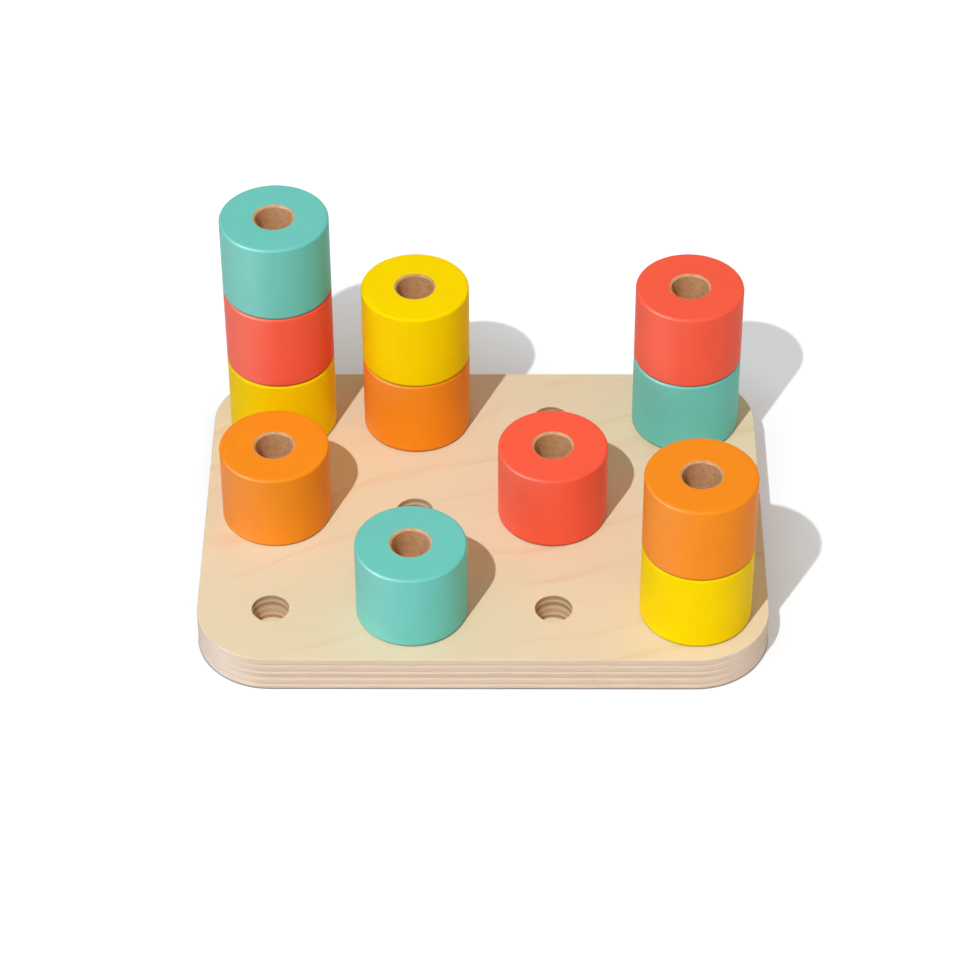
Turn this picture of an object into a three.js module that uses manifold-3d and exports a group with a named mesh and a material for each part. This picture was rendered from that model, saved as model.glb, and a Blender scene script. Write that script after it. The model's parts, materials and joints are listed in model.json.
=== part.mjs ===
// Stacking peg set: a plywood board with a grid of blind holes, and painted wooden pegs that stand in
// them. A peg is a turned block with a socket in its top and a dowel glued into its underside, so it
// plugs into the board or into the peg below it.
// Millimetres, +Z up. The origin lies under the middle of the board, on the surface it rests on.

import * as THREE from "three";
import { mergeVertices } from "three/addons/utils/BufferGeometryUtils.js";
import Module from "manifold-3d";

// Board
const BOARD_THICKNESS = 15;
const BOARD_BORDER = 6.8; // board left showing outside the outer pegs
const BOARD_CORNER_RADIUS = 28.5;
const BOARD_EDGE_RADIUS = 0.5;
const HOLE_COLUMNS = 4;
const HOLE_ROWS = 3;
const HOLE_FLOOR = 3.5; // wood left under a blind hole
const HOLE_MOUTH_CHAMFER = 0.15;

// Pegs
const BLOCK_DIAMETER = 42;
const BLOCK_HEIGHT = 33.6;
const BLOCK_TOP_RADIUS = 1.1;
const BLOCK_FOOT_RADIUS = 1;
const SOCKET_MOUTH_CHAMFER = 0.7;
const SOCKET_WEB = 7.6; // wood left between a block's socket and its dowel's seat
const DOWEL_DIAMETER = 13.2;
const DOWEL_CHAMFER = 1.2;

// Gaps and fits
const PEG_GAP_X = 11.3; // room for fingers between neighbouring pegs
const PEG_GAP_Y = 13;
const BOARD_FIT = 0.4; // round a dowel in the board
const SOCKET_FIT = 0.6; // round a dowel in a socket
const GLUE_GAP = 0.2; // round a dowel in its own block
const BOARD_TIP_GAP = 1; // under a dowel's tip in the board
const SOCKET_TIP_GAP = 3.5; // under a dowel's tip in a socket

// Facets
const BLOCK_SIDES = 32;
const DOWEL_SIDES = 24;
const ARC_STEPS = 1; // half the steps in a rounded edge
const CORNER_STEPS = 4; // half the steps in a corner of the board
const CUTTER_OVERSHOOT = 1; // how far a cutter stands out of the face it enters

// Pegs in each hole that is in use, from the bottom up. Columns run along +X, rows along +Y.
const STACKS = [
  { column: 0, row: 2, colours: ["yellow", "red", "teal"] },
  { column: 1, row: 2, colours: ["orange", "yellow"] },
  { column: 3, row: 2, colours: ["teal", "red"] },
  { column: 0, row: 1, colours: ["orange"] },
  { column: 2, row: 1, colours: ["red"] },
  { column: 1, row: 0, colours: ["teal"] },
  { column: 3, row: 0, colours: ["yellow", "orange"] },
];

// Sizes that follow from those above
const pitchX = BLOCK_DIAMETER + PEG_GAP_X;
const pitchY = BLOCK_DIAMETER + PEG_GAP_Y;
const boardWidth = (HOLE_COLUMNS - 1) * pitchX + BLOCK_DIAMETER + 2 * BOARD_BORDER;
const boardDepth = (HOLE_ROWS - 1) * pitchY + BLOCK_DIAMETER + 2 * BOARD_BORDER;
const holeDepth = BOARD_THICKNESS - HOLE_FLOOR;
const dowelReach = holeDepth - BOARD_TIP_GAP; // how far a dowel stands out of its block
const socketDepth = dowelReach + SOCKET_TIP_GAP;
const seatDepth = BLOCK_HEIGHT - socketDepth - SOCKET_WEB;
const dowelRadius = DOWEL_DIAMETER / 2;

const paint = (color) => new THREE.MeshStandardMaterial({ color, roughness: 0.45 });
const paints = {
  teal: paint(0x70cbbe),
  red: paint(0xf8654d),
  yellow: paint(0xfada06),
  orange: paint(0xf88f20),
};
const plywood = new THREE.MeshStandardMaterial({ color: 0xebcfab, roughness: 0.6 });
const rawWood = new THREE.MeshStandardMaterial({ color: 0xd6aa7d, roughness: 0.7 });

const wasm = await Module();
wasm.setup();

// A closed three.js geometry as a solid for cutting.
function solidFrom(geometry) {
  const bare = geometry.clone();
  bare.deleteAttribute("normal");
  bare.deleteAttribute("uv");
  const merged = mergeVertices(bare);
  return new wasm.Manifold(
    new wasm.Mesh({
      numProp: 3,
      vertProperties: merged.attributes.position.array,
      triVerts: new Uint32Array(merged.index.array),
    }),
  );
}

// A cut solid as a three.js geometry.
function geometryFrom(solid) {
  const mesh = solid.getMesh();
  const geometry = new THREE.BufferGeometry();
  geometry.setAttribute("position", new THREE.BufferAttribute(mesh.vertProperties, 3));
  geometry.setIndex(new THREE.BufferAttribute(mesh.triVerts, 1));
  geometry.computeVertexNormals();
  return geometry;
}

// Turns a profile of (radius, height) points about the Z axis. It runs from the axis to the axis, with
// the solid on its left.
function turned(profile, sides) {
  return new THREE.LatheGeometry(profile.getPoints(ARC_STEPS), sides).rotateX(Math.PI / 2);
}

function roundedRectangle(width, depth, radius) {
  const x = width / 2 - radius;
  const y = depth / 2 - radius;
  const quarter = Math.PI / 2;
  return new THREE.Shape()
    .absarc(x, y, radius, 0, quarter)
    .absarc(-x, y, radius, quarter, 2 * quarter)
    .absarc(-x, -y, radius, 2 * quarter, 3 * quarter)
    .absarc(x, -y, radius, 3 * quarter, 4 * quarter);
}

function holeCentre(column, row) {
  const x = (column - (HOLE_COLUMNS - 1) / 2) * pitchX;
  const y = (row - (HOLE_ROWS - 1) / 2) * pitchY;
  return new THREE.Vector3(x, y, BOARD_THICKNESS);
}

// The board before drilling, with its upper and lower edges rounded.
function boardBlank() {
  return new THREE.ExtrudeGeometry(roundedRectangle(boardWidth, boardDepth, BOARD_CORNER_RADIUS), {
    depth: BOARD_THICKNESS - 2 * BOARD_EDGE_RADIUS,
    curveSegments: CORNER_STEPS,
    bevelThickness: BOARD_EDGE_RADIUS,
    bevelSize: BOARD_EDGE_RADIUS,
    bevelOffset: -BOARD_EDGE_RADIUS,
    bevelSegments: 2 * ARC_STEPS,
  }).translate(0, 0, BOARD_EDGE_RADIUS);
}

// What the drill takes out of the board at one hole. Its height 0 is the board's top.
function holeCutter() {
  const radius = dowelRadius + BOARD_FIT;
  const mouth = radius + HOLE_MOUTH_CHAMFER;
  const profile = new THREE.Path()
    .moveTo(0, -holeDepth)
    .lineTo(radius, -holeDepth)
    .lineTo(radius, -HOLE_MOUTH_CHAMFER)
    .lineTo(mouth, 0)
    .lineTo(mouth, CUTTER_OVERSHOOT)
    .lineTo(0, CUTTER_OVERSHOOT);
  return turned(profile, DOWEL_SIDES);
}

function makeBoard() {
  let board = solidFrom(boardBlank());
  const cutter = solidFrom(holeCutter());
  for (let row = 0; row < HOLE_ROWS; row++) {
    for (let column = 0; column < HOLE_COLUMNS; column++) {
      board = board.subtract(cutter.translate(holeCentre(column, row).toArray()));
    }
  }
  const mesh = new THREE.Mesh(geometryFrom(board), plywood);
  mesh.name = "peg_board";
  return mesh;
}

// A block stands on height 0. Its profile starts at the end of the dowel's seat, comes out under the
// foot, goes up the side and down into the socket.
function blockGeometry() {
  const radius = BLOCK_DIAMETER / 2;
  const seat = dowelRadius + GLUE_GAP;
  const socket = dowelRadius + SOCKET_FIT;
  const quarter = Math.PI / 2;
  const profile = new THREE.Path()
    .moveTo(0, seatDepth)
    .lineTo(seat, seatDepth)
    .lineTo(seat, 0)
    .absarc(radius - BLOCK_FOOT_RADIUS, BLOCK_FOOT_RADIUS, BLOCK_FOOT_RADIUS, -quarter, 0)
    .absarc(radius - BLOCK_TOP_RADIUS, BLOCK_HEIGHT - BLOCK_TOP_RADIUS, BLOCK_TOP_RADIUS, 0, quarter)
    .lineTo(socket + SOCKET_MOUTH_CHAMFER, BLOCK_HEIGHT)
    .lineTo(socket, BLOCK_HEIGHT - SOCKET_MOUTH_CHAMFER)
    .lineTo(socket, BLOCK_HEIGHT - socketDepth)
    .lineTo(0, BLOCK_HEIGHT - socketDepth);
  return turned(profile, BLOCK_SIDES);
}

// A dowel has a chamfer at both ends. It fills its seat but for the glue.
function dowelGeometry() {
  const top = seatDepth - GLUE_GAP;
  const profile = new THREE.Path()
    .moveTo(0, -dowelReach)
    .lineTo(dowelRadius - DOWEL_CHAMFER, -dowelReach)
    .lineTo(dowelRadius, -dowelReach + DOWEL_CHAMFER)
    .lineTo(dowelRadius, top - DOWEL_CHAMFER)
    .lineTo(dowelRadius - DOWEL_CHAMFER, top)
    .lineTo(0, top);
  return turned(profile, DOWEL_SIDES);
}

function makePeg(colour, number) {
  const block = new THREE.Mesh(blockGeometry(), paints[colour]);
  block.name = `${colour}_block_${number}`;
  const dowel = new THREE.Mesh(dowelGeometry(), rawWood);
  dowel.name = `${colour}_dowel_${number}`;
  return new THREE.Group().add(block, dowel);
}

// The set: each peg is carried by the board or by the peg that it is plugged into.
const pegSet = new THREE.Group().add(makeBoard());
const pegsMade = {};
for (const { column, row, colours } of STACKS) {
  let carrier = pegSet;
  let foot = holeCentre(column, row);
  for (const colour of colours) {
    pegsMade[colour] = (pegsMade[colour] ?? 0) + 1;
    const peg = makePeg(colour, pegsMade[colour]);
    peg.position.copy(foot);
    carrier.add(peg);
    carrier = peg;
    foot = new THREE.Vector3(0, 0, BLOCK_HEIGHT);
  }
}

export default pegSet;
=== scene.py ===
"""Stacking peg set: a drilled plywood board, and the painted wooden pegs that stand in it.

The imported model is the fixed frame. Each of its pieces is modelled here again with rounded edges and a
procedural finish, and stands in for the plain one in the same place. Lengths are in metres, +Z is up.
"""

import json
import math

import bmesh
import bpy
from bpy.props import FloatProperty, FloatVectorProperty, PointerProperty
from mathutils import Matrix, Vector


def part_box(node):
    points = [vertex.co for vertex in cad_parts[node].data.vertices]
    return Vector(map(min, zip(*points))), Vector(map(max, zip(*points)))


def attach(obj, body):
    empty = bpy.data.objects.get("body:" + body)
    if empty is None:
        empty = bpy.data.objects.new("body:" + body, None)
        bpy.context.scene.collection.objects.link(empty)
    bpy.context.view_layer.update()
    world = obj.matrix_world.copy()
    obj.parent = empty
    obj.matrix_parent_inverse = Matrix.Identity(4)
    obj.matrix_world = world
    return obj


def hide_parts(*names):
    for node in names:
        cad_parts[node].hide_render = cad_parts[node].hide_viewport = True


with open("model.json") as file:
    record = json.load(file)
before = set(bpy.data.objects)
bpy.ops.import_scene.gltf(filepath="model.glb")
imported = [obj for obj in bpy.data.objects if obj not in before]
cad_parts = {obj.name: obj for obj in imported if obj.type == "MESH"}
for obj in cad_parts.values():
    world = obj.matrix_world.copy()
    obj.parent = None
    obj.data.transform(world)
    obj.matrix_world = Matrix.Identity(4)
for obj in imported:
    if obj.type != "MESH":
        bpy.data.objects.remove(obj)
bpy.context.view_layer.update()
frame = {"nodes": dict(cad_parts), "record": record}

bl_info = {
    "name": "Stacking Peg Set",
    "version": (1, 0, 0),
    "blender": (4, 5, 0),
    "location": "3D View > Sidebar > Peg Set",
    "description": "Models a drilled plywood board and painted stacking pegs on their packed frame",
    "category": "Add Mesh",
}

# Pieces of the frame
BOARD = "peg_board"
BLOCKS = sorted(node for node in frame["nodes"] if "_block_" in node)
DOWELS = sorted(node for node in frame["nodes"] if "_dowel_" in node)
PAINTS = ("teal", "red", "yellow", "orange")
BODY_OF = {node: body for body, nodes in frame["record"]["behaviour"]["bodies"].items() for node in nodes}


def middle_and_size(node):
    """A node's middle and its size along each axis."""
    low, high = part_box(node)
    return (low + high) / 2, high - low


# Sizes that the frame gives
MM = 0.001
BOARD_MIDDLE, BOARD_SIZE = middle_and_size(BOARD)
BLOCK_SIZE = middle_and_size(BLOCKS[0])[1]
DOWEL_SIZE = middle_and_size(DOWELS[0])[1]
BOARD_TOP = BOARD_MIDDLE.z + BOARD_SIZE.z / 2
BLOCK_RADIUS = BLOCK_SIZE.x / 2
BLOCK_HEIGHT = BLOCK_SIZE.z
DOWEL_RADIUS = DOWEL_SIZE.x / 2
DOWEL_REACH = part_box(BLOCKS[0])[0].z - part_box(DOWELS[0])[0].z
DOWEL_SEATED = DOWEL_SIZE.z - DOWEL_REACH

# Facets
BLOCK_SIDES = 96
DOWEL_SIDES = 64
HOLE_SIDES = 72
BLOCK_EDGE_STEPS = 8
BOARD_EDGE_STEPS = 5
BOARD_CORNER_STEPS = 24
LIP_STEPS = 2
FLOOR_SIDES = 128
SMOOTH_UP_TO = math.radians(40)

# Modelling in edit mode
NEAR = 0.05 * MM  # a point this close to a ring or a height counts as on it
UPRIGHT = 0.9  # least part of a normal along Z on a face that lies flat
CUTTER_OVERSHOOT = 2 * MM  # how far the drill stands out of the board
PLACE_DIGITS = 5  # decimals of a metre to which two places count as one

TURNED_PLACE = "turned_place"  # attribute: a point's place about its own block's axis
NOISE_SPAN = (0.3, 0.7)  # what nearly all of a cloudy noise lies between
SENSOR_WIDTH = 36  # millimetres

# Floor
FLOOR_FADE = (0.19, 0.5)  # metres from the middle between which the floor gives way to even white
CONTACT_SHADOW = 0.4 * MM  # width of the line of shadow at the foot of the board
CONTACT_LIGHT = 0.3  # share of the light that is left there

# The floor's glow fades towards the board, on the open floor and more behind the tall stacks: painted shade
# where the set keeps light off the floor
CLOSE_BY = (30 * MM, 90 * MM)  # distances from the board within which it fades
CLOSE_GLOW = (0.47, 0.28)  # shares of it that are left at the board

# The floor behind the tall stacks: places between which it sets in
STACKS_FRONT = (60 * MM, 85 * MM)  # along Y
STACKS_LEFT = (-105 * MM, -80 * MM)  # along X
STACKS_RIGHT = (30 * MM, -50 * MM)  # along X, from the other side

LIT_SIDE = (-1, 0, 0)  # direction of the floor on the key lamp's side
LIT_FROM = (0.11, 0.13)  # metres that way between which the floor turns into its lit side


def linear(red, green, blue):
    """A colour written as 0 to 255 on screen, as the linear colour that a shader takes."""
    shares = (value / 255 for value in (red, green, blue))
    return tuple(s / 12.92 if s <= 0.04045 else ((s + 0.055) / 1.055) ** 2.4 for s in shares)


def length(name, description, millimetres):
    """A length that can be changed in the panel."""
    return FloatProperty(
        name=name, description=description, default=millimetres * MM, min=0, precision=5, unit="LENGTH"
    )


def colour(name, description, red, green, blue):
    """A colour that can be changed in the panel."""
    return FloatVectorProperty(
        name=name, description=description, default=linear(red, green, blue), min=0, max=1, subtype="COLOR"
    )


class PegSetSizes(bpy.types.PropertyGroup):
    """Edges, chamfers and drillings of the set."""

    board_corner: length("Board Corner", "Radius of the board's four corners, seen from above", 28.5)
    board_edge: length("Board Edge", "Radius of the board's eased upper and lower edges", 0.5)
    hole_fit: length("Hole Fit", "Gap round a dowel that stands in the board", 0.4)
    hole_floor: length("Hole Floor", "Wood left under a hole in the board", 3.5)
    hole_chamfer: length("Hole Chamfer", "Chamfer round the mouth of a hole in the board", 0.15)
    block_top_edge: length("Block Top Edge", "Radius of a block's upper edge", 1.1)
    block_foot_edge: length("Block Foot Edge", "Radius of a block's lower edge", 1)
    socket_fit: length("Socket Fit", "Gap round a dowel that stands in a socket", 0.6)
    socket_depth: length("Socket Depth", "Depth of the socket in a block's top", 14)
    socket_chamfer: length("Socket Chamfer", "Chamfer round the mouth of a socket", 0.7)
    lip_wear: length("Lip Wear", "Rounding of the worn edge between paint and socket", 0.15)
    glue_gap: length("Glue Gap", "Gap for glue round a dowel in its own block", 0.2)
    dowel_edge: length("Dowel Edge", "Radius of a dowel's rounded ends", 1.2)
    spur_radius: length("Spur Radius", "Radius of the mark that the drill's point leaves", 1.3)
    spur_depth: length("Spur Depth", "Depth of the mark that the drill's point leaves", 0.9)


class PegSetColours(bpy.types.PropertyGroup):
    """Paints and woods of the set."""

    teal: colour("Teal", "Teal paint", 102, 196, 185)
    red: colour("Red", "Coral red paint", 244, 90, 62)
    yellow: colour("Yellow", "Yellow paint", 248, 214, 0)
    orange: colour("Orange", "Orange paint", 241, 139, 19)
    veneer: colour("Veneer", "Face of the plywood", 227, 211, 180)
    veneer_figure: colour("Veneer Figure", "Lines of the figure in the plywood's face", 222, 190, 150)
    ply_along: colour("Ply Along", "Edge of a ply whose grain runs along the edge", 225, 205, 184)
    ply_across: colour("Ply Across", "Edge of a ply whose grain runs into the edge", 213, 192, 170)
    ply_glue: colour("Ply Glue", "Line of glue between two plies", 204, 180, 156)
    # Painted sheen: paler and greyer than the plies, where the plies fade round the corners
    corner_plies_and_sheen: colour("Ply Corner", "Edge of the board round its corners", 225, 207, 191)
    drilled_along: colour("Drilled Along", "Pale plies on the wall of a hole", 227, 200, 163)
    drilled_across: colour("Drilled Across", "Dark plies on the wall of a hole", 181, 149, 114)
    drilled_glue: colour("Drilled Glue", "Glue-soaked plies on the wall of a hole", 207, 178, 143)
    # Painted shade: a dark brown mixed into the paint along each block's lower edge, where it meets the
    # board or the block under it
    painted_foot_shade: colour("Painted shade", "Grime along the lower edges of the blocks", 96, 62, 34)
    beech: colour("Beech", "Bare wood of the dowels and sockets", 214, 170, 125)
    beech_streak: colour("Beech Streak", "Darker streaks along the grain of the bare wood", 178, 128, 84)


class PegSetStudio(bpy.types.PropertyGroup):
    """Camera, lamps and floor."""

    camera_place: FloatVectorProperty(
        name="Camera Place",
        description="Where the camera stands",
        default=(0.00828, -1.02003, 0.9357),
        subtype="TRANSLATION",
        unit="LENGTH",
    )
    camera_heading: FloatProperty(
        name="Camera Heading",
        description="Turn of the view to the left of the +Y axis",
        default=math.radians(0.538),
        subtype="ANGLE",
    )
    camera_tilt: FloatProperty(
        name="Camera Tilt",
        description="How far the view looks down",
        default=math.radians(41.575),
        subtype="ANGLE",
    )
    camera_roll: FloatProperty(
        name="Camera Roll",
        description="Turn of the picture about the line of sight",
        default=math.radians(-0.317),
        subtype="ANGLE",
    )
    camera_lens: FloatProperty(
        name="Camera Lens", description="Focal length, in millimetres, on a 36 mm sensor", default=132.77
    )
    key_place: FloatVectorProperty(
        name="Key Lamp Place",
        description="Where the key lamp stands",
        default=(-0.628, -1.315, 1.99),
        subtype="TRANSLATION",
        unit="LENGTH",
    )
    key_diameter: FloatProperty(
        name="Key Lamp Diameter",
        description="Width of the key lamp, which softens the shadows",
        default=0.04,
        unit="LENGTH",
    )
    key_power: FloatProperty(
        name="Key Lamp Power", description="Power of the key lamp", default=48, unit="POWER"
    )
    key_colour: colour("Key Lamp Colour", "Colour of the key lamp", 243, 249, 255)
    sheen_place: FloatVectorProperty(
        name="Sheen Lamp Place",
        description="Where the lamp stands that shows in gloss alone",
        default=(-1.1, -0.65, 0.27),
        subtype="TRANSLATION",
        unit="LENGTH",
    )
    sheen_diameter: FloatProperty(
        name="Sheen Lamp Diameter",
        description="Width of the lamp that shows in gloss alone",
        default=0.7,
        unit="LENGTH",
    )
    sheen_power: FloatProperty(
        name="Sheen Lamp Power",
        description="Power of the lamp that shows in gloss alone",
        default=160,
        unit="POWER",
    )
    fill_colour: colour("Fill Colour", "Colour of the light from all round", 255, 236, 218)
    fill_strength: FloatProperty(
        name="Fill Strength", description="Mean strength of the light from all round", default=0.3, min=0
    )
    fill_swing: FloatProperty(
        name="Fill Swing",
        description="How much brighter the fill's bright side is than its mean",
        default=0.95,
    )
    fill_side: FloatVectorProperty(
        name="Fill Side",
        description="Direction that the fill is brightest in",
        default=(0.6, -0.15, 0.79),
        subtype="DIRECTION",
    )
    floor_colour: colour("Floor Colour", "Colour of the floor where the shadows fall", 231, 231, 231)
    floor_glow: colour("Floor Glow", "Colour added to the floor where the shadows fall", 216, 240, 255)
    floor_lift: FloatProperty(
        name="Floor Lift", description="Strength of the floor's glow", default=0.385, min=0
    )
    lit_colour: colour("Lit Floor Colour", "Colour of the floor on the key lamp's side", 165, 165, 165)
    lit_lift: FloatProperty(
        name="Lit Floor Lift",
        description="White added to the floor on the key lamp's side",
        default=1,
        min=0,
    )
    far_lift: FloatProperty(
        name="Far Floor Lift", description="White added to the floor far from the set", default=1, min=0
    )
    floor_radius: length("Floor Radius", "Radius of the floor", 5000)


class Nodes:
    """A node tree in the making. Its methods add nodes, and give back what comes out of them."""

    def __init__(self, tree):
        self.tree = tree
        tree.nodes.clear()

    def add(self, kind, inputs, **settings):
        """Adds a node and gives it back. An input is a plain value or the output of another node."""
        node = self.tree.nodes.new(kind)
        for setting, value in settings.items():
            setattr(node, setting, value)
        for key, value in inputs.items():
            if isinstance(value, bpy.types.NodeSocket):
                self.tree.links.new(value, node.inputs[key])
            else:
                node.inputs[key].default_value = value
        return node

    def object_place(self):
        """A point's place on the object."""
        return self.add("ShaderNodeTexCoord", {}).outputs["Object"]

    def object_normal(self):
        """The way that the surface faces."""
        return self.add("ShaderNodeTexCoord", {}).outputs["Normal"]

    def attribute(self, name):
        """A place that is stored in the mesh."""
        return self.add("ShaderNodeAttribute", {}, attribute_name=name).outputs["Vector"]

    def stretched(self, place, lengths, turn=0.0):
        """A place in steps of the given millimetres along each axis, with the axes turned about Z."""
        inputs = {"Vector": place, "Rotation": (0, 0, turn), "Scale": [each * MM for each in lengths]}
        return self.add("ShaderNodeMapping", inputs, vector_type="TEXTURE").outputs["Vector"]

    def along(self, vector, way):
        """How far a vector goes along a direction."""
        node = self.add("ShaderNodeVectorMath", {0: vector, 1: way}, operation="DOT_PRODUCT")
        return node.outputs["Value"]

    def parts(self, vector):
        """The three parts of a vector."""
        return self.add("ShaderNodeSeparateXYZ", {"Vector": vector}).outputs

    def noise(self, place, detail=2.0, roughness=0.5):
        """Cloudy noise, nearly all of it within NOISE_SPAN, with features about one unit long."""
        inputs = {"Vector": place, "Scale": 1.0, "Detail": detail, "Roughness": roughness}
        return self.add("ShaderNodeTexNoise", inputs).outputs[0]

    def math(self, operation, *values):
        """One sum on up to three numbers."""
        return self.add("ShaderNodeMath", dict(enumerate(values)), operation=operation).outputs[0]

    def ranged(self, value, low, high, to_low=0.0, to_high=1.0, smooth=False):
        """Maps a value from one range onto another, and keeps it there."""
        inputs = {"Value": value, "From Min": low, "From Max": high, "To Min": to_low, "To Max": to_high}
        kind = "SMOOTHSTEP" if smooth else "LINEAR"
        return self.add("ShaderNodeMapRange", inputs, interpolation_type=kind).outputs["Result"]

    def spread(self, noise, low, high):
        """Cloudy noise spread over a range of values."""
        return self.ranged(noise, *NOISE_SPAN, low, high)

    def radius(self, place):
        """Distance of a place from the Z axis."""
        x, y, _ = self.parts(place)
        squares = self.math("MULTIPLY_ADD", x, x, self.math("MULTIPLY", y, y))
        return self.math("SQRT", squares)

    def mixed(self, share, first, second):
        """Two colours mixed: the first where the share is 0, the second where it is 1."""
        node = self.add("ShaderNodeMix", {}, data_type="RGBA")
        named = {socket.identifier: socket for socket in node.inputs}
        self.tree.links.new(share, named["Factor_Float"])
        for key, tint in (("A_Color", first), ("B_Color", second)):
            if isinstance(tint, bpy.types.NodeSocket):
                self.tree.links.new(tint, named[key])
            else:
                named[key].default_value = (*tint, 1)
        return next(socket for socket in node.outputs if socket.identifier == "Result_Color")

    def between(self, share, first, second):
        """Two numbers mixed: the first where the share is 0, the second where it is 1."""
        return self.math("MULTIPLY_ADD", share, self.math("SUBTRACT", second, first), first)

    def shaded(self, tint, amount):
        """A colour made lighter or darker by a factor."""
        scaled = self.add("ShaderNodeVectorMath", {0: tint, "Scale": amount}, operation="SCALE")
        return scaled.outputs["Vector"]


class Finish(Nodes):
    """A procedural material in the making."""

    def __init__(self, name):
        self.material = bpy.data.materials.new(name)
        self.material.use_nodes = True
        super().__init__(self.material.node_tree)

    def surface(self, base, roughness, height, depth, specular, gloss=(1, 1, 1)):
        """Ends the material in a surface whose bumps are as deep as depth where the height is 1."""
        bump = self.add("ShaderNodeBump", {"Strength": 1.0, "Distance": depth, "Height": height})
        shader = self.add(
            "ShaderNodeBsdfPrincipled",
            {
                "Base Color": base,
                "Roughness": roughness,
                "Specular IOR Level": specular,
                "Specular Tint": (*gloss, 1),
                "Normal": bump.outputs["Normal"],
            },
        )
        self.add("ShaderNodeOutputMaterial", {"Surface": shader.outputs["BSDF"]})
        return self.material


# Depths of the grain that can be felt
PAINT_RELIEF = 0.012 * MM
BEECH_RELIEF = 0.05 * MM
PLY_RELIEF = 0.03 * MM

# Roughness of wood as the drill and the saw leave it
DRILLED_ROUGHNESS = 0.7
SAWN_ROUGHNESS = 0.72

# Paint on the blocks
PAINT_FILM = 0.048 * MM  # how far it stands above the bare wood
PAINT_EDGE = 0.06 * MM  # half the width over which it ends
LIP_RAGGED = 0.7 * MM  # how far its edge strays round a socket
PAINTED_SHADE_HEIGHTS = (0.6 * MM, 1.5 * MM)  # between which the painted shade on a block's lower edge gives out
PAINTED_SHADE_SHARE = 0.55  # how far the painted shade covers the paint below that

# How strong each paint's gloss is, and how far the gloss takes on the paint's own colour
GLOSS = {"teal": (0.22, 0.0), "red": (0.18, 0.1), "yellow": (0.05, 1.0), "orange": (0.16, 0.4)}

# Plywood of the board
FIGURE_TURN = math.radians(24)  # from the board's long side to the growth lines of its veneer
HOLES_INSIDE = 14 * MM  # every hole lies farther than this inside the board's edge
DRILLED_RISE = 0.6 * MM  # how much higher the plies lie in the holes than on the edges
PLY_SWAY = 0.4 * MM  # how far the plies wander up and down
BOARD_FOOT = 0.8 * MM  # height of the painted shade along the board's lower edge
BOARD_FOOT_SHADE = 0.4  # share of the colour that is left at the foot of that line

# Where the board's finishes meet: the part of a normal along X on its edges, and along Z on its faces
END_FROM = 0.8  # past this an edge is an end of the board
CORNER_FRONT = (0.1, 0.6)  # the front and back edges give way to a corner
CORNER_END = (1.0, 0.9)  # an end gives way to a corner
CORNER_SHARE = 0.9  # how far the plies give way round a corner to a paler, greyer colour that is painted sheen
FACE_FROM = (0.55, 0.95)  # the edges give way to the faces


def beech_grain(finish, tints):
    """Colour and height of bare wood whose grain runs along Z."""
    place = finish.object_place()
    streaks = finish.noise(finish.stretched(place, (1.6, 1.6, 34)), detail=4, roughness=0.6)
    rays = finish.noise(finish.stretched(place, (0.35, 0.35, 2.5)), detail=2)
    fibres = finish.noise(finish.stretched(place, (0.22, 0.22, 9)), detail=2)
    flecks = finish.ranged(rays, 0.6, 0.7)
    share = finish.math("MULTIPLY_ADD", flecks, 0.35, finish.ranged(streaks, 0.36, 0.66, 0.1, 0.6))
    tint = finish.mixed(share, tints.beech, tints.beech_streak)
    tint = finish.shaded(tint, finish.spread(fibres, 0.94, 1.05))
    height = finish.math("SUBTRACT", fibres, finish.math("MULTIPLY", flecks, 0.4))
    return tint, height


def bare_beech(tints):
    """The dowels: sanded bare wood."""
    finish = Finish("bare_beech")
    tint, height = beech_grain(finish, tints)
    roughness = finish.spread(height, 0.75, 0.6)
    return finish.surface(tint, roughness, height, BEECH_RELIEF, specular=0.35)


def drilled_beech(finish, tints, turned):
    """Colour and height of bare wood with the torn fibres, pores and rings that a drill leaves."""
    torn = finish.noise(finish.stretched(turned, (2.4, 2.4, 0.9)), detail=4, roughness=0.7)
    pores = finish.ranged(finish.noise(finish.stretched(turned, (0.5, 0.5, 0.5)), detail=2), 0.62, 0.7)
    rings = finish.noise(finish.stretched(turned, (24, 24, 0.5)), detail=3, roughness=0.6)
    streaks = finish.noise(finish.stretched(turned, (1.8, 1.8, 30)), detail=3)
    share = finish.math("MULTIPLY_ADD", pores, 0.7, finish.ranged(torn, 0.34, 0.66, 0.05, 0.65))
    tint = finish.mixed(share, tints.beech, tints.beech_streak)
    tint = finish.shaded(tint, finish.spread(rings, 0.95, 1.05))
    tint = finish.shaded(tint, finish.spread(streaks, 0.95, 1.05))
    return tint, finish.math("ADD", finish.math("SUBTRACT", torn, pores), rings)


def coloured_gloss(tint, share):
    """White gloss that takes on a share of a paint's own colour."""
    full = max(tint)
    return [1 - share + share * part / full for part in tint]


def painted_share(finish, place, turned, sizes):
    """1 where a block is painted and 0 where it is drilled, with a slightly ragged line between them."""
    mouth = DOWEL_RADIUS + sizes.socket_fit + sizes.socket_chamfer
    seat = DOWEL_RADIUS + sizes.glue_gap
    upper = finish.math("GREATER_THAN", finish.parts(turned)[2], BLOCK_HEIGHT / 2)
    ragged = finish.noise(finish.stretched(place, (1.6, 1.6, 1.6)), detail=4, roughness=0.7)
    lip = finish.between(upper, seat, mouth - NOISE_SPAN[0] * LIP_RAGGED)
    lip = finish.math("MULTIPLY_ADD", ragged, LIP_RAGGED, lip)
    return finish.ranged(finish.math("SUBTRACT", finish.radius(turned), lip), -PAINT_EDGE, PAINT_EDGE)


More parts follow.
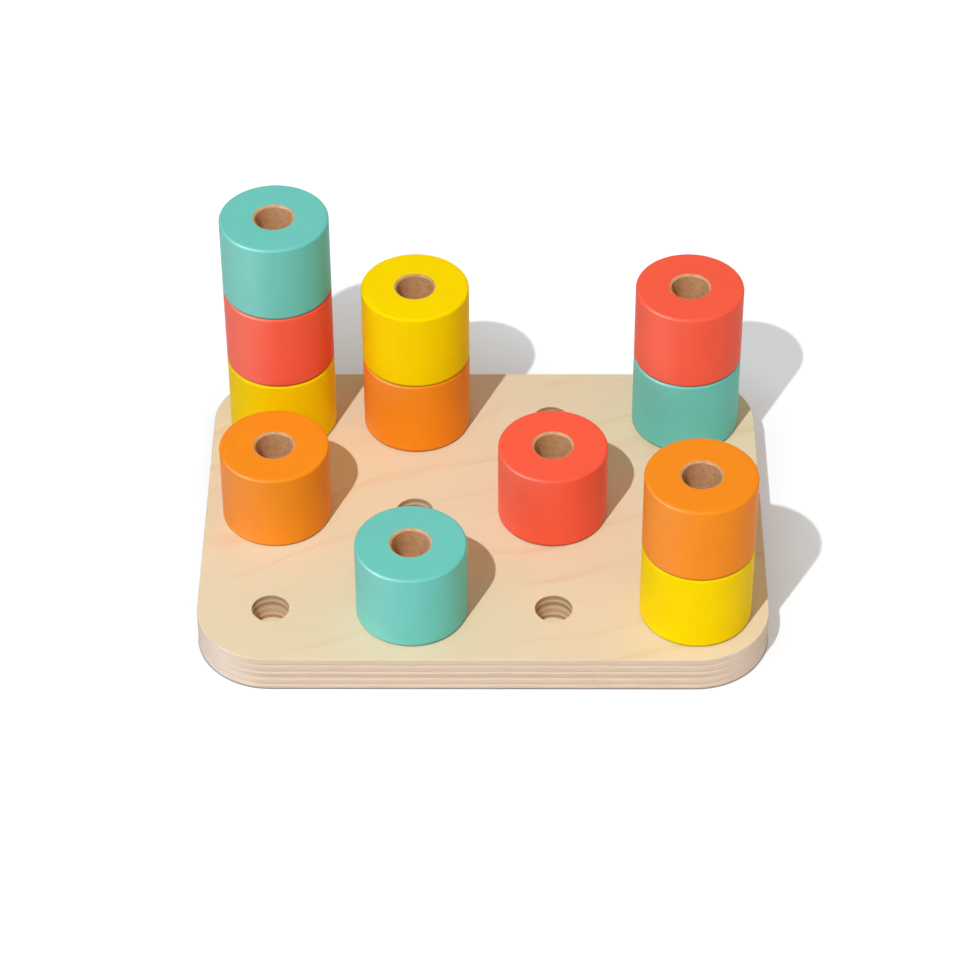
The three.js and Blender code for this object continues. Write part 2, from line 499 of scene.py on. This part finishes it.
def satin_paint(name, sizes, tints):
    """A block: satin paint outside, and bare wood where the socket and the dowel's seat are drilled."""
    finish = Finish(f"satin_{name}_paint")
    tint = getattr(tints, name)
    place = finish.object_place()
    turned = finish.attribute(TURNED_PLACE)
    painted = painted_share(finish, place, turned, sizes)

    # Paint: pigment clouds, specks, the grain under it, and painted shade on the lower edge, where the
    # block meets the board or the block below
    clouds = finish.noise(finish.stretched(place, (9, 9, 14)), detail=3)
    specks = finish.noise(finish.stretched(place, (0.5, 0.5, 0.5)), detail=1)
    grain = finish.noise(finish.stretched(place, (0.8, 0.8, 26)), detail=3, roughness=0.6)
    shade = finish.spread(clouds, 0.98, 1.02)
    shade = finish.math("MULTIPLY", shade, finish.spread(specks, 0.985, 1.015))
    shade = finish.math("MULTIPLY", shade, finish.spread(grain, 0.99, 1.01))
    # Painted shade along the block's lower edge, darkest at its foot
    painted_foot_shade = finish.ranged(finish.parts(turned)[2], *PAINTED_SHADE_HEIGHTS, PAINTED_SHADE_SHARE, 0.0)
    paint = finish.mixed(painted_foot_shade, finish.shaded(tint, shade), tints.painted_foot_shade)
    paint_height = finish.math("MULTIPLY_ADD", grain, 1.2, finish.math("MULTIPLY", specks, 0.5))
    paint_roughness = finish.spread(clouds, 0.51, 0.57)

    wood, wood_height = drilled_beech(finish, tints, turned)
    wood_height = finish.math("MULTIPLY", wood_height, BEECH_RELIEF / PAINT_RELIEF)
    film = finish.math("MULTIPLY", painted, PAINT_FILM / PAINT_RELIEF)
    base = finish.mixed(painted, wood, paint)
    roughness = finish.between(painted, DRILLED_ROUGHNESS, paint_roughness)
    height = finish.math("ADD", finish.between(painted, wood_height, paint_height), film)
    strength, own_colour = GLOSS[name]
    gloss = coloured_gloss(tint, own_colour)
    return finish.surface(base, roughness, height, PAINT_RELIEF, specular=strength, gloss=gloss)


# Plies of the board from the top down: thickness in millimetres, and what shows on the front edge. Plies
# whose grain runs along the edge are pale, the others are darker, and some glue shows as a dark line.
PLIES = (
    (2.2, "across"),
    (0.6, "glue"),
    (1.0, "along"),
    (1.5, "across"),
    (0.7, "glue"),
    (1.2, "along"),
    (2.0, "glue"),
    (1.2, "along"),
    (1.4, "across"),
    (0.7, "glue"),
    (1.1, "along"),
    (1.4, "across"),
)
PLY_BLEND = 0.14  # millimetres over which one ply gives way to the next, to either side


def ply_bands(finish, depth, tints_by_kind):
    """Colour of the plies at a depth under the board's top, given as a share of its thickness."""
    ramp = finish.add("ShaderNodeValToRGB", {"Fac": depth})
    stack = sum(thickness for thickness, _ in PLIES)
    stops = []
    top = 0.0
    for thickness, kind in PLIES:
        foot = top + thickness
        stops += [(top + PLY_BLEND, kind), (foot - PLY_BLEND, kind)]
        top = foot
    elements = ramp.color_ramp.elements
    while len(elements) < len(stops):
        elements.new(1.0)
    for element, (at, kind) in zip(elements, stops):
        element.position = at / stack
        element.color = (*tints_by_kind[kind], 1)
    return ramp.outputs["Color"]


def face_veneer(finish, place, tints):
    """Colour and fibres of the board's faces: fine grain along X, and a few slanting growth lines."""
    fibres = finish.noise(finish.stretched(place, (22, 0.55, 22)), detail=4, roughness=0.65)
    clouds = finish.noise(finish.stretched(place, (70, 30, 70), FIGURE_TURN), detail=3)
    drift = finish.noise(finish.stretched(place, (95, 40, 95), FIGURE_TURN), detail=2)
    across = finish.parts(finish.stretched(place, (26, 26, 26), FIGURE_TURN))[1]
    rings = finish.math("PINGPONG", finish.math("MULTIPLY_ADD", drift, 2.5, across), 0.5)
    lines = finish.ranged(rings, 0.36, 0.5, smooth=True)
    figure = finish.math("MULTIPLY", lines, finish.ranged(clouds, 0.42, 0.62, 0.0, 0.55))
    figure = finish.math("MULTIPLY_ADD", finish.ranged(fibres, 0.4, 0.75), 0.28, figure)
    face = finish.mixed(figure, tints.veneer, tints.veneer_figure)
    return finish.shaded(face, finish.spread(clouds, 0.98, 1.02)), fibres


def edge_plies(finish, depth, tints):
    """Plies on the board's edges: its ends show them the other way round, and its corners hardly. Round the
    corners they fade into a paler, greyer colour, which is painted sheen.
    """
    on_front = {"along": tints.ply_along, "across": tints.ply_across, "glue": tints.ply_glue}
    on_end = {"along": tints.ply_across, "across": tints.ply_along, "glue": tints.ply_glue}
    turned_away = finish.math("ABSOLUTE", finish.parts(finish.object_normal())[0])
    at_end = finish.math("GREATER_THAN", turned_away, END_FROM)
    edge = finish.mixed(at_end, ply_bands(finish, depth, on_front), ply_bands(finish, depth, on_end))
    from_front = finish.ranged(turned_away, *CORNER_FRONT)
    from_end = finish.ranged(turned_away, *CORNER_END)
    at_corner = finish.math("MULTIPLY", finish.math("MINIMUM", from_front, from_end), CORNER_SHARE)
    return finish.mixed(at_corner, edge, tints.corner_plies_and_sheen)


def hole_plies(finish, depth, tints):
    """Plies on the walls of the holes."""
    in_hole = {"along": tints.drilled_along, "across": tints.drilled_across, "glue": tints.drilled_glue}
    raised = finish.math("ADD", depth, DRILLED_RISE / BOARD_SIZE.z)
    return ply_bands(finish, raised, in_hole)


def sawn_plies(finish, place, tints):
    """Colour and height of the plies that show on the board's edges and in its holes."""
    x, y, z = finish.parts(place)
    sway = finish.noise(finish.stretched(place, (45, 45, 45)), detail=2)
    depth = finish.math("SUBTRACT", BOARD_TOP, z)
    depth = finish.math("MULTIPLY_ADD", finish.math("SUBTRACT", sway, 0.5), PLY_SWAY, depth)
    depth = finish.math("DIVIDE", depth, BOARD_SIZE.z)

    inset_x = finish.math("SUBTRACT", BOARD_SIZE.x / 2, finish.math("ABSOLUTE", x))
    inset_y = finish.math("SUBTRACT", BOARD_SIZE.y / 2, finish.math("ABSOLUTE", y))
    drilled = finish.math("GREATER_THAN", finish.math("MINIMUM", inset_x, inset_y), HOLES_INSIDE)
    plies = finish.mixed(drilled, edge_plies(finish, depth, tints), hole_plies(finish, depth, tints))

    streaks = finish.noise(finish.stretched(place, (12, 12, 0.3)), detail=3, roughness=0.6)
    pits = finish.noise(finish.stretched(place, (0.5, 0.5, 0.35)), detail=3, roughness=0.7)
    plies = finish.shaded(plies, finish.spread(streaks, 0.89, 1.11))
    plies = finish.shaded(plies, finish.spread(pits, 0.97, 1.03))
    # Painted shade: the edge darkens towards the board's foot
    plies = finish.shaded(plies, finish.ranged(z, 0.0, BOARD_FOOT, BOARD_FOOT_SHADE, 1.0))
    return plies, finish.math("ADD", streaks, pits)


def birch_plywood(tints):
    """The board: a faint figure on its faces, and its plies on the edges and in the holes."""
    finish = Finish("birch_plywood")
    place = finish.object_place()
    face, fibres = face_veneer(finish, place, tints)
    plies, ply_height = sawn_plies(finish, place, tints)
    lying = finish.math("ABSOLUTE", finish.parts(finish.object_normal())[2])
    flat = finish.ranged(lying, *FACE_FROM, smooth=True)
    base = finish.mixed(flat, plies, face)
    roughness = finish.between(flat, SAWN_ROUGHNESS, finish.spread(fibres, 0.62, 0.5))
    height = finish.between(flat, ply_height, finish.math("MULTIPLY", fibres, 0.4))
    return finish.surface(base, roughness, height, PLY_RELIEF, specular=0.15)


def rest_selection():
    """Leaves edit mode with nothing selected, so that an operator acts on the next piece alone."""
    if bpy.context.mode != "OBJECT":
        bpy.ops.object.mode_set(mode="OBJECT")
    bpy.ops.object.select_all(action="DESELECT")


def pick(piece):
    """Makes one object the only one selected, and the active one."""
    rest_selection()
    piece.select_set(True)
    bpy.context.view_layer.objects.active = piece


def add_cylinder(sides, radius, low, high):
    """A cylinder on the Z axis between two heights, in edit mode."""
    rest_selection()
    middle = (0, 0, (low + high) / 2)
    bpy.ops.mesh.primitive_cylinder_add(
        vertices=sides, radius=radius, depth=high - low, end_fill_type="NGON", location=middle
    )
    bpy.ops.object.transform_apply(location=True, rotation=True, scale=True)
    bpy.ops.object.mode_set(mode="EDIT")
    return bpy.context.edit_object


def select_faces(test):
    """In edit mode, selects only the faces whose normals pass the test."""
    bpy.ops.mesh.select_mode(type="FACE")
    bpy.ops.mesh.select_all(action="DESELECT")
    mesh = bpy.context.edit_object.data
    edit = bmesh.from_edit_mesh(mesh)
    for face in edit.faces:
        if test(face.normal):
            face.select_set(True)
    edit.select_flush_mode()
    bmesh.update_edit_mesh(mesh)


def select_edges(test):
    """In edit mode, selects only the edges whose two ends pass the test."""
    bpy.ops.mesh.select_mode(type="EDGE")
    bpy.ops.mesh.select_all(action="DESELECT")
    mesh = bpy.context.edit_object.data
    edit = bmesh.from_edit_mesh(mesh)
    for edge in edit.edges:
        if test(edge.verts[0].co, edge.verts[1].co):
            edge.select_set(True)
    edit.select_flush_mode()
    bmesh.update_edit_mesh(mesh)


def faces_up(normal):
    return normal.z > UPRIGHT


def faces_down(normal):
    return normal.z < -UPRIGHT


def on_ring(radius, height):
    """A test for edges that lie on a circle about the Z axis."""

    def on_it(point):
        return abs(math.hypot(point.x, point.y) - radius) < NEAR and abs(point.z - height) < NEAR

    return lambda first, second: on_it(first) and on_it(second)


def extrude(rise):
    """Extrudes the selected face along Z."""
    bpy.ops.mesh.extrude_region_move(TRANSFORM_OT_translate={"value": (0, 0, rise)})


def round_edges(test, radius, steps):
    """Rounds the edges that pass a test."""
    select_edges(test)
    bpy.ops.mesh.bevel(offset=radius, offset_type="OFFSET", segments=steps, profile=0.5, affect="EDGES")


def settle_shading(piece):
    """Shades round faces smooth, keeps true edges sharp, and flat faces flat up to their rounded edges."""
    pick(piece)
    bpy.ops.object.shade_smooth_by_angle(angle=SMOOTH_UP_TO)
    bpy.ops.object.modifier_add(type="WEIGHTED_NORMAL")
    modifier = piece.modifiers[-1]
    modifier.keep_sharp = True
    bpy.ops.object.modifier_apply(modifier=modifier.name)


def dress(piece, node, finish):
    """Gives a piece its finish, and puts it in a frame node's stead."""
    piece.data.materials.clear()
    piece.data.materials.append(finish)
    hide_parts(node)
    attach(piece, BODY_OF[node])


def copy_to(master, name, place):
    """A copy of a piece, with its own mesh, moved to a place that is then kept in the mesh."""
    pick(master)
    bpy.ops.object.duplicate(linked=False)
    piece = bpy.context.object
    piece.name = name
    piece.data.name = name
    bpy.ops.transform.translate(value=place)
    bpy.ops.object.transform_apply(location=True, rotation=True, scale=True)
    return piece


def foot_of(node):
    """The middle of a node's underside."""
    low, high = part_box(node)
    return Vector(((low.x + high.x) / 2, (low.y + high.y) / 2, low.z))


def model_block(sizes):
    """One block, standing on the origin."""
    socket = DOWEL_RADIUS + sizes.socket_fit
    mouth = socket + sizes.socket_chamfer
    seat = DOWEL_RADIUS + sizes.glue_gap
    block = add_cylinder(BLOCK_SIDES, BLOCK_RADIUS, 0, BLOCK_HEIGHT)

    # Socket: mouth, chamfer, wall, floor and the mark of the drill's point
    select_faces(faces_up)
    bpy.ops.mesh.inset(thickness=BLOCK_RADIUS - mouth)
    bpy.ops.mesh.inset(thickness=sizes.socket_chamfer, depth=-sizes.socket_chamfer)
    extrude(sizes.socket_chamfer - sizes.socket_depth)
    bpy.ops.mesh.inset(thickness=socket - sizes.spur_radius)
    bpy.ops.mesh.inset(thickness=sizes.spur_radius / 2, depth=-sizes.spur_depth)

    # Seat of the dowel
    select_faces(faces_down)
    bpy.ops.mesh.inset(thickness=BLOCK_RADIUS - seat)
    extrude(DOWEL_SEATED + sizes.glue_gap)

    round_edges(on_ring(BLOCK_RADIUS, BLOCK_HEIGHT), sizes.block_top_edge, BLOCK_EDGE_STEPS)
    round_edges(on_ring(BLOCK_RADIUS, 0), sizes.block_foot_edge, BLOCK_EDGE_STEPS)
    round_edges(on_ring(mouth, BLOCK_HEIGHT), sizes.lip_wear, LIP_STEPS)
    settle_shading(block)
    mesh = block.data
    places = mesh.attributes.new(TURNED_PLACE, "FLOAT_VECTOR", "POINT")
    places.data.foreach_set("vector", [part for vertex in mesh.vertices for part in vertex.co])
    return block


def model_dowel(sizes):
    """One dowel, standing on the origin, with both ends rounded."""
    dowel = add_cylinder(DOWEL_SIDES, DOWEL_RADIUS, 0, DOWEL_SIZE.z)
    for height in (0, DOWEL_SIZE.z):
        round_edges(on_ring(DOWEL_RADIUS, height), sizes.dowel_edge, BLOCK_EDGE_STEPS)
    settle_shading(dowel)
    return dowel


def model_board_blank(sizes):
    """The board before drilling."""
    rest_selection()
    bpy.ops.mesh.primitive_cube_add(size=1, location=BOARD_MIDDLE, scale=BOARD_SIZE)
    bpy.ops.object.transform_apply(location=True, rotation=True, scale=True)
    bpy.ops.object.mode_set(mode="EDIT")
    board = bpy.context.edit_object

    def stands(first, second):
        return abs(first.z - second.z) > NEAR

    def lies_on_the_rim(first, second):
        return abs(first.z - second.z) < NEAR

    round_edges(stands, sizes.board_corner, BOARD_CORNER_STEPS)
    round_edges(lies_on_the_rim, sizes.board_edge, BOARD_EDGE_STEPS)
    rest_selection()
    return board


def model_drill(sizes):
    """What the drill takes out of the board at one hole, with the hole's axis on the Z axis."""
    radius = DOWEL_RADIUS + sizes.hole_fit
    chamfer_foot = BOARD_TOP - sizes.hole_chamfer
    drill = add_cylinder(HOLE_SIDES, radius, sizes.hole_floor, chamfer_foot)
    select_faces(faces_up)
    extrude(sizes.hole_chamfer)
    flare = 1 + sizes.hole_chamfer / radius
    bpy.ops.transform.resize(value=(flare, flare, 1), center_override=(0, 0, BOARD_TOP))
    extrude(CUTTER_OVERSHOOT)
    select_faces(faces_down)
    bpy.ops.mesh.inset(thickness=radius - sizes.spur_radius)
    bpy.ops.mesh.inset(thickness=sizes.spur_radius / 2, depth=sizes.spur_depth)
    rest_selection()
    return drill


def hole_places():
    """The middles of the board's holes: every column and every row that a block stands in."""
    columns = sorted({round(foot_of(block).x, PLACE_DIGITS) for block in BLOCKS})
    rows = sorted({round(foot_of(block).y, PLACE_DIGITS) for block in BLOCKS})
    return [(column, row, 0) for row in rows for column in columns]


def drill_holes(board, sizes):
    """Cuts every hole in the board."""
    drill = model_drill(sizes)
    drills = [copy_to(drill, f"drill_{number}", place) for number, place in enumerate(hole_places())]
    bpy.data.objects.remove(drill)
    pick(drills[0])
    for each in drills:
        each.select_set(True)
    bpy.ops.object.join()
    cutter = bpy.context.object
    pick(board)
    bpy.ops.object.modifier_add(type="BOOLEAN")
    modifier = board.modifiers[-1]
    modifier.operation = "DIFFERENCE"
    modifier.solver = "EXACT"
    modifier.object = cutter
    bpy.ops.object.modifier_apply(modifier=modifier.name)
    bpy.data.objects.remove(cutter)


class PEGSET_OT_board(bpy.types.Operator):
    """Model the plywood board and drill its holes"""

    bl_idname = "pegset.board"
    bl_label = "Make Board"

    def execute(self, context):
        sizes = context.scene.peg_set_sizes
        board = model_board_blank(sizes)
        board.name = f"{BOARD}_drilled"
        board.data.name = board.name
        drill_holes(board, sizes)
        settle_shading(board)
        dress(board, BOARD, birch_plywood(context.scene.peg_set_colours))
        return {"FINISHED"}


class PEGSET_OT_blocks(bpy.types.Operator):
    """Model one block, and stand a painted copy of it in the place of every block"""

    bl_idname = "pegset.blocks"
    bl_label = "Make Blocks"

    def execute(self, context):
        sizes = context.scene.peg_set_sizes
        tints = context.scene.peg_set_colours
        paints = {name: satin_paint(name, sizes, tints) for name in PAINTS}
        block = model_block(sizes)
        for node in BLOCKS:
            piece = copy_to(block, f"{node}_painted", foot_of(node))
            dress(piece, node, paints[node.split("_")[0]])
        bpy.data.objects.remove(block)
        return {"FINISHED"}


class PEGSET_OT_dowels(bpy.types.Operator):
    """Model one dowel, and set a copy of it under every block"""

    bl_idname = "pegset.dowels"
    bl_label = "Make Dowels"

    def execute(self, context):
        wood = bare_beech(context.scene.peg_set_colours)
        dowel = model_dowel(context.scene.peg_set_sizes)
        for node in DOWELS:
            dress(copy_to(dowel, f"{node}_turned", foot_of(node)), node, wood)
        bpy.data.objects.remove(dowel)
        return {"FINISHED"}


def place_camera(scene, studio):
    """The camera at the photograph's viewing angle."""
    data = bpy.data.cameras.new("camera")
    data.sensor_width = SENSOR_WIDTH
    data.lens = studio.camera_lens
    camera = bpy.data.objects.new("camera", data)
    scene.collection.objects.link(camera)
    heading = Matrix.Rotation(studio.camera_heading, 4, "Z")
    tilt = Matrix.Rotation(math.pi / 2 - studio.camera_tilt, 4, "X")
    roll = Matrix.Rotation(studio.camera_roll, 4, "Z")
    camera.matrix_world = Matrix.Translation(studio.camera_place) @ heading @ tilt @ roll
    scene.camera = camera


def add_lamp(scene, name, place, diameter, power):
    """A round lamp that points at the middle of the floor."""
    data = bpy.data.lights.new(name, "AREA")
    data.shape = "DISK"
    data.size = diameter
    data.energy = power
    lamp = bpy.data.objects.new(name, data)
    scene.collection.objects.link(lamp)
    lamp.location = place
    lamp.rotation_euler = (-Vector(place)).to_track_quat("-Z", "Y").to_euler()
    return lamp


def place_lamps(scene, studio):
    """A small key lamp to the front left, and a wide low one to the left that shows in gloss alone."""
    key = add_lamp(scene, "key_lamp", studio.key_place, studio.key_diameter, studio.key_power)
    key.data.color = studio.key_colour
    sheen = add_lamp(scene, "sheen_lamp", studio.sheen_place, studio.sheen_diameter, studio.sheen_power)
    sheen.visible_camera = False
    sheen.visible_diffuse = False


def seen_directly(nodes):
    """1 for a ray that shows a surface itself, in the picture, in gloss or through glass, and else 0."""
    path = nodes.add("ShaderNodeLightPath", {}).outputs
    in_gloss = nodes.math("MAXIMUM", path["Is Camera Ray"], path["Is Glossy Ray"])
    return nodes.math("MAXIMUM", in_gloss, path["Is Transmission Ray"])


def fill_world(scene, studio):
    """Light from all round that goes evenly from a dim side to a bright one, in a room that looks white."""
    world = bpy.data.worlds.new("studio")
    scene.world = world
    world.use_nodes = True
    nodes = Nodes(world.node_tree)
    way = nodes.add("ShaderNodeTexCoord", {}).outputs["Generated"]
    swing = studio.fill_strength * studio.fill_swing
    strength = nodes.math("MULTIPLY_ADD", nodes.along(way, studio.fill_side), swing, studio.fill_strength)
    fill = nodes.add("ShaderNodeBackground", {"Color": (*studio.fill_colour, 1), "Strength": strength})
    white = nodes.add("ShaderNodeBackground", {"Color": (1, 1, 1, 1), "Strength": 1.0})
    room = nodes.add(
        "ShaderNodeMixShader",
        {0: seen_directly(nodes), 1: fill.outputs["Background"], 2: white.outputs["Background"]},
    )
    nodes.add("ShaderNodeOutputWorld", {"Surface": room.outputs["Shader"]})


def beyond_board(finish, place, corner):
    """How far a place on the floor lies outside the board's outline."""
    x, y, _ = finish.parts(place)
    out = []
    for part, size in ((x, BOARD_SIZE.x), (y, BOARD_SIZE.y)):
        past_corner = finish.math("SUBTRACT", finish.math("ABSOLUTE", part), size / 2 - corner)
        out.append(finish.math("MAXIMUM", past_corner, 0.0))
    squares = finish.math("MULTIPLY_ADD", out[0], out[0], finish.math("MULTIPLY", out[1], out[1]))
    return finish.math("SUBTRACT", finish.math("SQRT", squares), corner)


def glow_near_board(finish, place, beyond):
    """Share of the floor's glow that is left at a place, from how far it lies beyond the board: painted
    shade near the board, deepest behind the tall stacks.
    """
    x, y, _ = finish.parts(place)
    across = finish.math("MULTIPLY", finish.ranged(x, *STACKS_LEFT), finish.ranged(x, *STACKS_RIGHT))
    behind = finish.math("MULTIPLY", across, finish.ranged(y, *STACKS_FRONT))
    close_by = finish.between(behind, *CLOSE_BY)
    return finish.ranged(beyond, 0.0, close_by, finish.between(behind, *CLOSE_GLOW), 1.0)


def white_floor(studio, corner):
    """The floor: white that keeps the shadows, and gives way to an even white farther out."""
    finish = Finish("white_floor")
    place = finish.object_place()
    lit = finish.ranged(finish.along(place, LIT_SIDE), *LIT_FROM, smooth=True)
    far = finish.ranged(finish.radius(place), *FLOOR_FADE)
    beyond = beyond_board(finish, place, corner)
    clear = finish.ranged(beyond, 0.0, CONTACT_SHADOW, CONTACT_LIGHT, 1.0)
    # Painted shade: less glow near the board and behind the tall stacks
    lift = finish.math("MULTIPLY", glow_near_board(finish, place, beyond), studio.floor_lift)
    lift = finish.between(lit, lift, studio.lit_lift)
    lift = finish.between(far, lift, studio.far_lift)
    lift = finish.math("MULTIPLY", finish.math("MULTIPLY", lift, seen_directly(finish)), clear)
    colour_here = finish.mixed(lit, studio.floor_colour, studio.lit_colour)
    matt = finish.add("ShaderNodeBsdfDiffuse", {"Color": finish.shaded(colour_here, clear)})
    tint = finish.mixed(finish.math("MAXIMUM", lit, far), studio.floor_glow, (1, 1, 1))
    glow = finish.add("ShaderNodeEmission", {"Color": tint, "Strength": lift})
    both = finish.add("ShaderNodeAddShader", {0: matt.outputs["BSDF"], 1: glow.outputs["Emission"]})
    finish.add("ShaderNodeOutputMaterial", {"Surface": both.outputs["Shader"]})
    return finish.material


def lay_floor(studio, sizes):
    """The floor that the set stands on."""
    rest_selection()
    bpy.ops.mesh.primitive_circle_add(vertices=FLOOR_SIDES, radius=studio.floor_radius, fill_type="NGON")
    floor = bpy.context.object
    floor.name = "floor"
    floor.data.materials.append(white_floor(studio, sizes.board_corner))


class PEGSET_OT_studio(bpy.types.Operator):
    """Set up the camera, the light and the floor"""

    bl_idname = "pegset.studio"
    bl_label = "Set Up Studio"

    def execute(self, context):
        scene = context.scene
        studio = scene.peg_set_studio
        scene.view_settings.view_transform = "Standard"
        place_camera(scene, studio)
        place_lamps(scene, studio)
        fill_world(scene, studio)
        lay_floor(studio, scene.peg_set_sizes)
        return {"FINISHED"}


GROUPS = {"peg_set_sizes": PegSetSizes, "peg_set_colours": PegSetColours, "peg_set_studio": PegSetStudio}
OPERATORS = (PEGSET_OT_studio, PEGSET_OT_board, PEGSET_OT_blocks, PEGSET_OT_dowels)


class VIEW3D_PT_peg_set(bpy.types.Panel):
    """Sizes, colours and steps of the peg set"""

    bl_label = "Stacking Peg Set"
    bl_space_type = "VIEW_3D"
    bl_region_type = "UI"
    bl_category = "Peg Set"

    def draw(self, context):
        for group_name, group in GROUPS.items():
            box = self.layout.box()
            for name in group.__annotations__:
                box.prop(getattr(context.scene, group_name), name)
        for operator in OPERATORS:
            self.layout.operator(operator.bl_idname)


CLASSES = (*GROUPS.values(), *OPERATORS, VIEW3D_PT_peg_set)


def register():
    for each in CLASSES:
        bpy.utils.register_class(each)
    for name, group in GROUPS.items():
        setattr(bpy.types.Scene, name, PointerProperty(type=group))


def unregister():
    for name in GROUPS:
        delattr(bpy.types.Scene, name)
    for each in reversed(CLASSES):
        bpy.utils.unregister_class(each)


def main():
    register()
    bpy.ops.pegset.studio()
    bpy.ops.pegset.board()
    bpy.ops.pegset.blocks()
    bpy.ops.pegset.dowels()


if __name__ == "__main__":
    main()
